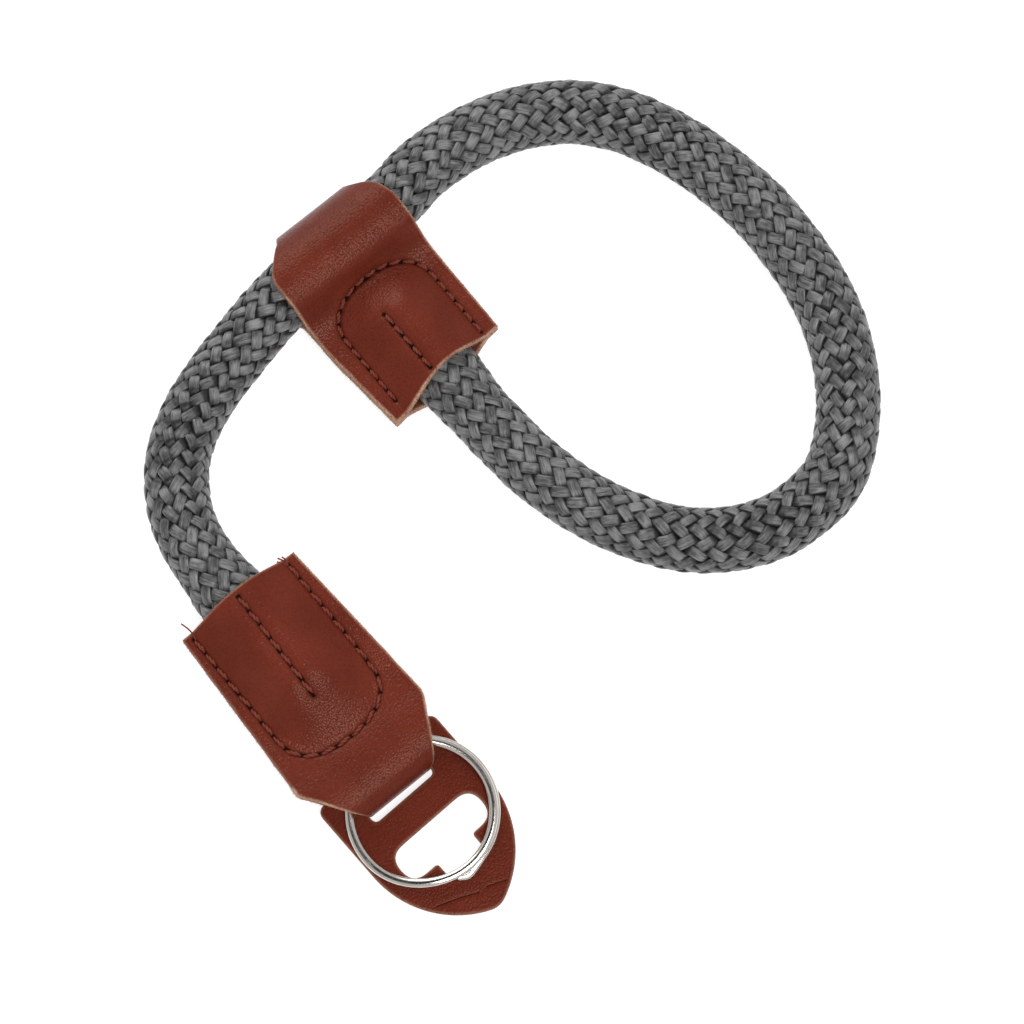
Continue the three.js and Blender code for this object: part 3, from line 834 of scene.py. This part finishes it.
def makeHolder(name, sizes):
    seed, step = sizes["seed"], holderSizes["step"]
    line = sideLine(sizes)
    length = lengthsAlong(line)[-1]
    along = edgedSteps(length, step)
    stations = pointsAt(line, along)
    stationY, stationZ = stations[:, :1], stations[:, 1:]
    fromMouth = np.abs(stations[:, 0] - sizes["mouthY"])
    foldAt = along[fromMouth.argmax()]
    fromFold = np.abs(along - foldAt)[:, None]
    front = (along < foldAt)[:, None]
    # the strip's cut outline
    nearer = np.interp(along - foldAt, [0, holderSizes["backCutReach"]], [0, sizes["backCut"]])
    cutAt = fromFold[:, 0] + nearer
    left, right = (np.interp(cutAt, *np.transpose(sizes[side])) for side in ("left", "right"))
    left = left + rippled("cut", along, 0 * along, seed)
    right = right + rippled("cut", along, 0 * along, seed + 5)
    width = left + right
    columns = round(width.max() / step)
    x = np.array([edgedSteps(w, w / columns) - start for w, start in zip(width, left)])
    # the middle of the leather
    bell, swell = pocketShape(sizes, x, stationY)
    nearMouth = np.maximum(0, 1 - fromMouth[:, None] / sizes["mouthReach"])
    shift = np.where(front, sizes["frontMouthShift"], sizes["backMouthShift"])
    y = stationY + nearMouth * (shift * bell + sizes["mouthSkew"] * x)
    z = np.maximum(leatherThick / 2, stationZ + np.where(front, swell, -swell))
    z = z + holderSizes["ripples"]["face"][0] + rippled("face", x, y, seed)
    grid = np.stack([sizes["x"] + x, y, z], axis=2)
    normal = unit(np.cross(np.gradient(grid, axis=0), np.gradient(grid, axis=1))) * -sizes["foldSide"]
    # cut edges are rounded, and thread pulls the outer face down along the seams
    fromSide = np.minimum(left[:, None] + x, right[:, None] - x)
    fromEnd = np.minimum(along, length - along)[:, None] + 0 * x
    toEdge = np.minimum(fromSide, fromEnd)
    thick = leatherThick / 2 * np.interp(toEdge, edgeSteps, edgeThick)[..., None]
    # cut edges are rounded, and thread pulls the outer face down along the seams, with painted shade in its
    # holes and grooves
    seams = [seamLoop(sizes["seam"], sizes["x"]), seamStraight(sizes["middleSeam"], sizes["x"])]
    sunk, dark = sunkSeams(sizes, seams, x, y, fromFold)
    outer = grid + normal * (thick - sunk[..., None])
    inner = grid - normal * thick
    for face in (inner, outer):
        face[..., 2] = np.maximum(face[..., 2], 0)
    amount = rawAmount(sizes, x, y, fromFold, fromEnd < fromSide)
    raw = np.interp(toEdge, edgeSteps, edgeRaw) * amount
    rows, count = x.shape
    faces = shellFaces(rows, count)[:, ::-sizes["foldSide"]].tolist()
    points = np.vstack([outer.reshape(-1, 3), inner.reshape(-1, 3)])
    marks = leatherMarks(raw.ravel(), dark.ravel())
    piece = addPiece(name, addMesh(name, points, [], faces, marks), leather)
    dress(piece, "strap", "leather", name.replace("_leather", ""))
    flatSize = (width.max() / 1000, length / 1000)
    area = float(((width[1:] + width[:-1]) / 2 * np.diff(along)).sum()) / 1e6
    print(name, "made, faces:", len(faces), "flat mm:", [round(1000 * f, 1) for f in flatSize],
          "area mm2:", round(area * 1e6))
    cuts = [(np.s_[:, 0], np.s_[:, 1]), (np.s_[:, -1], np.s_[:, -2]),
            (np.s_[0], np.s_[1]), (np.s_[-1], np.s_[-2])]
    rims = [(outer[rim], inner[rim], unit(grid[rim] - grid[beside]), amount[rim]) for rim, beside in cuts]
    return {"points": outer.reshape(-1, 3), "normals": normal.reshape(-1, 3),
            "isFront": np.repeat(front.ravel(), count), "seams": seams, "rims": rims}


holders = {
    "end_tab": makeHolder("end_tab_leather", tabSizes),
    "keeper": makeHolder("keeper_leather", keeperSizes),
}


# stitches: two plies of thread twisted together, from hole to hole

stitchSizes = {"ply": 0.2, "plyApart": 0.16, "turns": 1.5, "fill": 0.82, "rise": 0.22, "dip": 0.6,
               "slant": 10.0, "sway": 0.1, "seed": 4, "steps": 9, "sides": 6, "fibres": 8.0}


def makeStitchTree(sizes):
    tree, given, ending = geometryTree(
        "seamStitches", Float="length ply plyApart turns rise dip slant", Int="seed")
    add = partial(outOf, tree)
    # one stitch along X
    plies, number = copies(tree, straight(tree, (1, 0, 0), sizes["steps"]), 2)
    share = add("GeometryNodeSplineParameter", output="Factor")
    turn = share * given.turns * (2 * math.pi) + number * math.pi
    arch = given.rise - abs(share * 2.0 - 1.0)**4.0 * given.dip
    place = vectorOf((share - 0.5) * given.length, calc("COSINE", turn) * given.plyApart,
                     calc("SINE", turn) * given.plyApart + arch)
    laid = add("GeometryNodeSetPosition", {"Geometry": plies, "Position": place})
    marked = store(laid, along=share * sizes["fibres"], strand=number)
    circle = add("GeometryNodeCurvePrimitiveCircle",
                 {"Resolution": sizes["sides"], "Radius": given.ply})
    circle = store(circle, across=add("GeometryNodeSplineParameter", output="Factor"))
    stitch = sweep(tree, marked, circle)
    # every second point of a seam is a hole, and the stitch lies on the point between
    seam = add("GeometryNodeMeshToCurve", {"Mesh": given.Geometry})
    between = calc("MODULO", add("GeometryNodeSplineParameter", output="Index"), 2.0)
    facing = add("FunctionNodeAxesToRotation",
                 {"Primary Axis": add("GeometryNodeInputTangent"),
                  "Secondary Axis": stored(tree, "outward", "FLOAT_VECTOR")},
                 primary_axis="X", secondary_axis="Z")
    sway = chance(tree, -sizes["sway"], sizes["sway"], given.seed)
    lean = add("FunctionNodeEulerToRotation", {0: vectorOf(0.0, 0.0, given.slant + sway)})
    turned = add("FunctionNodeRotateRotation", {"Rotation": facing, "Rotate By": lean},
                 rotation_space="LOCAL")
    placed = add("GeometryNodeInstanceOnPoints",
                 {"Points": seam, "Selection": between, "Instance": stitch, "Rotation": turned})
    return endTree(tree, given, ending, placed)


def onSurface(path, points, normals, neighbours=4, blur=0.02):
    # lifts a plan line onto the leather, with the leather's outward direction
    tree = planTree(points)
    places, directions = [], []
    for x, y in path:
        found = tree.find_n((x, y, 0), neighbours)
        weights = np.array([1 / (distance + blur) for _, _, distance in found])
        weights /= weights.sum()
        indices = [index for _, index, _ in found]
        places.append((x, y, float(weights @ points[indices, 2])))
        directions.append(weights @ normals[indices])
    return np.array(places), unit(np.array(directions))


def sewOn(name, guide, tree, values):
    piece = addPiece(name, runTree(name, guide, tree, values))
    dress(piece, "strap", "leather")
    print(name, "made, faces:", len(piece.data.polygons))


def makeStitches(name, holder, pitch, tree, sizes):
    lines = []
    for side in (holder["isFront"], ~holder["isFront"]):
        points, normals = holder["points"][side], holder["normals"][side]
        lines += [onSurface(seam, points, normals) for seam in holder["seams"]]
    guide = addGuide(name, [line[0] for line in lines], {"outward": np.vstack([line[1] for line in lines])})
    values = treeValues(sizes, threadFibre, "ply plyApart rise dip", "turns seed")
    values |= {"length": pitch * sizes["fill"] / 1000, "slant": math.radians(sizes["slant"])}
    sewOn(name, guide, tree, values)


stitchTree = makeStitchTree(stitchSizes)
for name, sizes in (("end_tab", tabSizes), ("keeper", keeperSizes)):
    makeStitches(name + "_stitches", holders[name], sizes["seam"]["pitch"], stitchTree, stitchSizes)


# raw fibres along the cut edges, and loose ends of thread

fuzzSizes = {"apart": 0.1, "radius": 0.028, "length": 0.42, "shortest": 0.35, "spread": 0.7, "seed": 21,
             "depths": (0.2, 0.7)}  # shares of the edge's height


def makeFuzzTree():
    tree, given, ending = geometryTree(
        "edgeFuzz", Float="apart radius length shortest spread", Int="seed")
    add = partial(outOf, tree)
    edge = add("GeometryNodeMeshToCurve", {"Mesh": given.Geometry})
    spots = add("GeometryNodeResampleCurve", {"Curve": edge, "Length": given.apart}, mode="LENGTH")
    seeds = [given.seed + step for step in (0.0, 1.0, 2.0)]
    grows = calc("LESS_THAN", chance(tree, 0.0, 1.0, seeds[0]), stored(tree, "amount"))
    astray = add("FunctionNodeRandomValue", {0: (-1, -1, -1), 1: (1, 1, 1), "Seed": seeds[1]},
                 data_type="FLOAT_VECTOR")
    way = vectorCalc("ADD", stored(tree, "outward", "FLOAT_VECTOR"), scaled(astray, given.spread))
    facing = add("FunctionNodeAlignRotationToVector", {"Vector": way}, axis="Z")
    stretch = vectorOf(1.0, 1.0, chance(tree, given.shortest, 1.0, seeds[2]))
    hair = add("GeometryNodeMeshCone", {"Vertices": 3, "Side Segments": 1, "Radius Top": 0.0,
                                        "Radius Bottom": given.radius, "Depth": given.length})
    placed = add("GeometryNodeInstanceOnPoints",
                 {"Points": spots, "Selection": grows, "Instance": hair, "Rotation": facing,
                  "Scale": stretch})
    return endTree(tree, given, ending, placed)


def makeFuzz(name, holder, tree, sizes):
    lines, outward, amounts = [], [], []
    for outer, inner, away, amount in holder["rims"]:
        for depth in sizes["depths"]:
            lines.append(outer * (1 - depth) + inner * depth)
            outward.append(away)
            amounts.append(amount)
    marks = {"outward": np.vstack(outward), "amount": np.concatenate(amounts)}
    values = treeValues(sizes, rawFuzz, "apart radius length", "shortest spread seed")
    sewOn(name, addGuide(name, lines, marks), tree, values)


fuzzTree = makeFuzzTree()
for name, holder in holders.items():
    makeFuzz(name + "_fuzz", holder, fuzzTree, fuzzSizes)

threadEnds = {
    "radius": 0.13,
    "sides": 7,
    "lines": [
        [(-9.5, 38.7, 6.9), (-9.3, 39.6, 7.05), (-9.35, 40.8, 7.0), (-9.7, 42.1, 7.2)],
        [(9.1, 38.8, 6.9), (8.7, 39.6, 7.1), (8.1, 40.3, 7.2)],
        [(9.2, 38.8, 6.9), (9.0, 39.8, 7.15), (8.6, 40.7, 7.0)],
        [(9.1, 38.9, 6.9), (9.4, 39.7, 7.1), (9.2, 40.4, 7.3)],
    ],
}


def makeThreadEnds(sizes):
    lines = [smoothLine(line, 5) for line in sizes["lines"]]
    values = treeValues(sizes, threadFibre, "radius", "sides")
    sewOn("end_tab_thread_ends", addGuide("threadEnds", lines), tubeTree, values)


makeThreadEnds(threadEnds)


# split ring and guard lean together, the guard's tip on the floor

leanSizes = {"x": 0.45, "tipY": -23.4, "tilt": 3.5}


def leaned(points):
    tilt = math.radians(leanSizes["tilt"])
    x, y, z = np.asarray(points, float).T
    y = y - leanSizes["tipY"]
    return np.stack([leanSizes["x"] + x,
                     leanSizes["tipY"] + y * math.cos(tilt) - z * math.sin(tilt),
                     y * math.sin(tilt) + z * math.cos(tilt)], axis=1)


ringSizes = {
    "x": 0.65, "y": -4.4, "z": 1.41, "outer": 12.2,
    "wireWide": 1.45, "wireHigh": 0.93,
    "wireFull": 2 / 2.05,  # 1 is an oval section, less is squarer
    "coilRise": 0.97,
    "coilInset": 0.38,  # how far the upper coil lies inside the lower one
    "start": -102.0, "length": 590.0, "stepFrom": 290.0, "stepTo": 352.0,  # degrees
    # how far out the wire's end lies and how wide it is there, by degrees from the end
    "paddle": [(0, 0.0), (4, 0.35), (9, 0.6), (15, 0.3), (24, 0.05), (60, 0.0)],
    "paddleWide": [(0, 0.72), (2, 0.95), (6, 1.12), (14, 1.12), (24, 1.0)],
    "taper": 14.0, "taperThin": 0.2,
    "steps": 591,  # one to a degree, so both coils have their corners in line
    "sides": 18,
}


def smoothTable(places, table, reach=3):
    # values from a table of (place, value), with its corners rounded off
    values = np.interp(places, *np.transpose(table))
    window = 2 * reach + 1
    return np.convolve(np.pad(values, reach, mode="edge"), np.ones(window) / window, "valid")


def makeRing(sizes):
    turned = np.linspace(0, sizes["length"], sizes["steps"])
    angle = np.radians(sizes["start"] + turned)[:, None]
    step = np.clip((turned - sizes["stepFrom"]) / (sizes["stepTo"] - sizes["stepFrom"]), 0, 1)
    step = step * step * (3 - 2 * step)
    middle = sizes["outer"] - sizes["wireWide"] / 2 - sizes["coilInset"] * step
    middle = middle + smoothTable(turned, sizes["paddle"])
    # flat wire with full round sides, drawn in at its cut ends
    around = -np.linspace(0, 2 * math.pi, sizes["sides"], endpoint=False)
    wide = fuller(np.cos(around), sizes["wireFull"]) * sizes["wireWide"] / 2
    high = fuller(np.sin(around), sizes["wireFull"]) * sizes["wireHigh"] / 2
    drawn = smoothTable(turned, sizes["paddleWide"])[:, None]
    thin = np.interp(sizes["length"] - turned, [0, sizes["taper"]], [sizes["taperThin"], 1.0])[:, None]
    radius = middle[:, None] + wide * drawn
    bottom = sizes["z"] + (sizes["coilRise"] * step)[:, None]
    points = np.stack([sizes["x"] + radius * np.cos(angle), sizes["y"] + radius * np.sin(angle),
                       bottom + (sizes["wireHigh"] / 2 + high) * thin], axis=2)
    rows, count = points.shape[:2]
    at = np.arange(rows * count).reshape(rows, count)
    beside = np.roll(at, -1, axis=1)
    faces = np.stack([at[:-1], beside[:-1], beside[1:], at[1:]], -1).reshape(-1, 4).tolist()
    faces += [at[0, ::-1].tolist(), at[-1].tolist()]
    mesh = addMesh("split_ring_wire", leaned(points.reshape(-1, 3)), [], faces)
    dress(addPiece("split_ring_wire", mesh, makeNickel(ringLook)), "ring", "ring", "split_ring")
    print("ring made, faces:", len(faces))


makeRing(ringSizes)

guardSizes = {
    "half": 11.9, "topY": 6.6, "corner": 1.6, "shoulderY": -7.0,
    "tipRadius": 17.3, "tipHalf": 1.2, "tipY": leanSizes["tipY"],
    "turn": 1.8,
    "slit": {"left": -6.25, "right": 6.0, "low": -0.95, "high": 3.5, "corner": 1.0},
    "slot": {"left": -8.0, "right": 8.7, "low": -12.0, "high": -6.2, "corner": 2.85},
    "stem": {"left": -3.0, "right": 4.2, "low": -15.6, "corner": 1.6},
    "notch": 0.55,
    "creases": [[(-7.6, -16.9), (-4.4, -18.1), (-1.1, -19.6)], [(0.4, -19.7), (3.5, -21.0)]],
    "creaseDepth": 0.045, "creaseHalf": 0.15, "creaseShade": 0.75,
    "creaseSteps": (-0.3, -0.12, 0, 0.12, 0.3),  # rows of points along a crease
    "creaseSpacing": 0.25, "creaseSamples": 200,
    "rimSpacing": 0.3, "rimSamples": 0.05,
    "rimFree": 0.03,  # no other point this close to the rim
    "spacing": 0.42,
    "spacingFree": 0.45,  # nor an evenly spread one this close to a rim or crease
    "raw": 0.3,
}


def bezier(a, b, c, count):
    t = np.linspace(0, 1, count)[:, None]
    return (1 - t)**2 * np.array(a) + 2 * t * (1 - t) * np.array(b) + t**2 * np.array(c)


def roundedLoop(corners):
    loop = []
    for i, (x, y, rounding) in enumerate(corners):
        here = np.array([x, y])
        before, after = np.array(corners[i - 1][:2]), np.array(corners[(i + 1) % len(corners)][:2])
        start = here + unit(before - here) * rounding
        end = here + unit(after - here) * rounding
        loop.append(bezier(start, here, end, 9))
    return np.vstack(loop)


def leafLoop(sizes):
    half, arcX = sizes["half"], sizes["half"] - sizes["tipRadius"]
    arcEnd = math.acos((sizes["tipHalf"] - arcX) / sizes["tipRadius"])
    angles = np.linspace(0, arcEnd, 40)
    side = np.stack([arcX + sizes["tipRadius"] * np.cos(angles),
                     sizes["shoulderY"] - sizes["tipRadius"] * np.sin(angles)], axis=1)
    other = side[::-1] * (-1, 1)
    tip = bezier(side[-1], (0, sizes["tipY"]), other[0], 9)[1:-1]
    top, corner = sizes["topY"], sizes["corner"]
    left = bezier((-half, top - corner), (-half, top), (corner - half, top), 7)
    right = bezier((half - corner, top), (half, top), (half, top - corner), 7)
    return np.vstack([side, tip, other, left, right])


def slitLoop(slit):
    corners = (("left", "low"), ("right", "low"), ("right", "high"), ("left", "high"))
    return roundedLoop([(slit[x], slit[y], slit["corner"]) for x, y in corners])


def slotLoop(slot, stem, notch):
    low, high, corner = slot["low"], slot["high"], slot["corner"]
    return roundedLoop([
        (slot["left"], low, corner), (stem["left"], low, notch),
        (stem["left"], stem["low"], stem["corner"]), (stem["right"], stem["low"], stem["corner"]),
        (stem["right"], low, notch), (slot["right"], low, corner),
        (slot["right"], high, corner), (slot["left"], high, corner)])


def spread(loop, spacing):
    closed = np.vstack([loop, loop[:1]])
    return evenly(closed, round(lengthsAlong(closed)[-1] / spacing) + 1)[:-1]


def insideOf(points, loop):
    x, y = points[:, :1], points[:, 1:]
    ax, ay = loop.T
    bx, by = np.roll(loop, -1, axis=0).T
    crossesRow = (ay > y) != (by > y)
    cutX = ax + (y - ay) * (bx - ax) / np.where(by == ay, 1e-9, by - ay)
    return ((crossesRow & (x < cutX)).sum(1) % 2) == 1


def onPlate(points, loops):
    leaf, *cutOuts = (insideOf(points, loop) for loop in loops)
    return leaf & ~np.any(cutOuts, axis=0)


def rowsBeside(line, tangent, steps):
    across = np.stack([-tangent[:, 1], tangent[:, 0]], axis=1)
    return [line + across * step for step in steps]


def platePoints(sizes, loops, creases):
    # points on and close to the cut edges and creases, then an even spread over the rest
    extra = []
    for loop in loops:
        tangent = unit(np.roll(loop, -1, axis=0) - np.roll(loop, 1, axis=0))
        extra += rowsBeside(loop, tangent, [side * step for step in edgeSteps[1:] for side in (-1, 1)])
    for crease in creases:
        extra += rowsBeside(crease, unit(np.gradient(crease, axis=0)), sizes["creaseSteps"])
    gridX = np.arange(-sizes["half"], sizes["half"], sizes["spacing"])
    gridY = np.arange(sizes["tipY"], sizes["topY"], sizes["spacing"])
    lattice = np.stack(np.meshgrid(gridX, gridY), -1).reshape(-1, 2)
    free = nearest(lattice, loops + creases) > sizes["spacingFree"]
    points = np.vstack(extra + [lattice[free]])
    points = points[onPlate(points, loops)]
    return np.vstack(loops + [points[nearest(points, loops) > sizes["rimFree"]]])


def plateTriangles(points, loops):
    edges, start = [], 0
    for loop in loops:
        count = len(loop)
        edges += [(start + i, start + (i + 1) % count) for i in range(count)]
        start += count
    made = delaunay_2d_cdt([Vector(p) for p in points], edges, [], 0, 1e-5)
    flat = np.array([tuple(p) for p in made[0]])
    middles = np.array([flat[list(f)].mean(0) for f in made[2]])
    return flat, np.array(made[2])[onPlate(middles, loops)]


def makeGuard(sizes):
    loops = [spread(loop, sizes["rimSpacing"])
             for loop in (leafLoop(sizes), slitLoop(sizes["slit"]),
                          slotLoop(sizes["slot"], sizes["stem"], sizes["notch"]))]
    creases = [evenly(smoothLine(c, 8), round(lengthsAlong(np.array(c))[-1] / sizes["creaseSpacing"]))
               for c in sizes["creases"]]
    flat, triangles = plateTriangles(platePoints(sizes, loops, creases), loops)
    # both faces of the plate, thinner at its rounded edges and creased near its tip, with painted shade in
    # the creases
    toEdge = nearest(flat, [spread(loop, sizes["rimSamples"]) for loop in loops])
    thick = leatherThick / 2 * np.interp(toEdge, edgeSteps, edgeThick)
    toCrease = nearest(flat, [evenly(c, sizes["creaseSamples"]) for c in creases])
    crease = np.exp(-(toCrease / sizes["creaseHalf"])**2)
    high = leatherThick / 2 + thick - sizes["creaseDepth"] * crease
    low = leatherThick / 2 - thick
    turn = math.radians(sizes["turn"])
    x = flat[:, 0] * math.cos(turn) - flat[:, 1] * math.sin(turn)
    y = flat[:, 0] * math.sin(turn) + flat[:, 1] * math.cos(turn)
    count = len(flat)
    ways = dict.fromkeys(edge for a, b, c in triangles for edge in ((a, b), (b, c), (c, a)))
    walls = [[b, a, a + count, b + count] for a, b in ways if (b, a) not in ways]
    faces = triangles.tolist() + (triangles[:, ::-1] + count).tolist() + walls
    used = np.unique(np.array([i for f in faces for i in f]))
    renumber = np.full(2 * count, -1)
    renumber[used] = np.arange(len(used))
    faces = [[int(renumber[i]) for i in f] for f in faces]
    points = np.vstack([np.stack([x, y, high], 1), np.stack([x, y, low], 1)])[used]
    raw = np.interp(toEdge, edgeSteps, edgeRaw) * sizes["raw"]
    # painted shade in the creases
    marks = leatherMarks(raw, sizes["creaseShade"] * crease)
    marks = {name: values[used] for name, values in marks.items()}
    mesh = addMesh("guard_leather", leaned(points), [], faces, marks)
    dress(addPiece("guard_leather", mesh, guardLeather), "strap", "leather", "guard")
    print("guard made, faces:", len(faces))


makeGuard(guardSizes)


# a pale floor and soft studio light

stageSizes = {
    "floor": 3.0, "floorZ": -0.0003, "floorColour": (0.42, 0.42, 0.42, 1), "floorGlow": 0.8,
    "overhead": (0.006, 0.006, 0.006, 1), "sides": (0.57, 0.57, 0.575, 1),
    "ceiling": (0.87, 0.95),  # how steeply upwards the dark ceiling starts and is full
}
lightSizes = [
    {"name": "front", "place": (-0.03, -0.4, 0.94), "size": 0.44, "power": 5.8},
    {"name": "behind", "place": (0.2, 0.78, 0.58), "size": 0.6, "power": 4.5},
]


def makeFloor(sizes):
    half = sizes["floor"] / 2
    corners = [(-half, -half, 0), (half, -half, 0), (half, half, 0), (-half, half, 0)]
    mesh = bpy.data.meshes.new("floor")
    mesh.from_pydata(corners, [], [(0, 1, 2, 3)])
    material, tree, shader = newMaterial("paleFloor")
    plug(tree, shader, {"Base Color": sizes["floorColour"], "Roughness": 0.9, "Specular IOR Level": 0.1,
                        "Emission Color": (1, 1, 1, 1), "Emission Strength": sizes["floorGlow"]})
    mesh.materials.append(material)
    floor = bpy.data.objects.new("floor", mesh)
    floor.location.z = sizes["floorZ"]
    scene.collection.objects.link(floor)


def makeSurroundings(sizes):
    # pale walls round a dark ceiling, which the ring mirrors
    world = bpy.data.worlds.new("studio")
    world.use_nodes = True
    tree = world.node_tree
    upward = outOf(tree, "ShaderNodeSeparateXYZ", {0: placeOn(tree)}, "Z")
    colour = mixColour(ramp(abs(upward), *sizes["ceiling"]), sizes["sides"], sizes["overhead"])
    plug(tree, tree.nodes["Background"], {"Color": colour})
    scene.world = world
    scene.view_settings.view_transform = "Standard"


def makeLight(settings):
    data = bpy.data.lights.new(settings["name"], "AREA")
    data.shape = "SQUARE"
    data.size = settings["size"]
    data.energy = settings["power"]
    light = bpy.data.objects.new(settings["name"], data)
    light.location = settings["place"]
    turnTo(light, Vector(settings["place"]))


makeFloor(stageSizes)
makeSurroundings(stageSizes)
for settings in lightSizes:
    makeLight(settings)
print("stage and lights made")
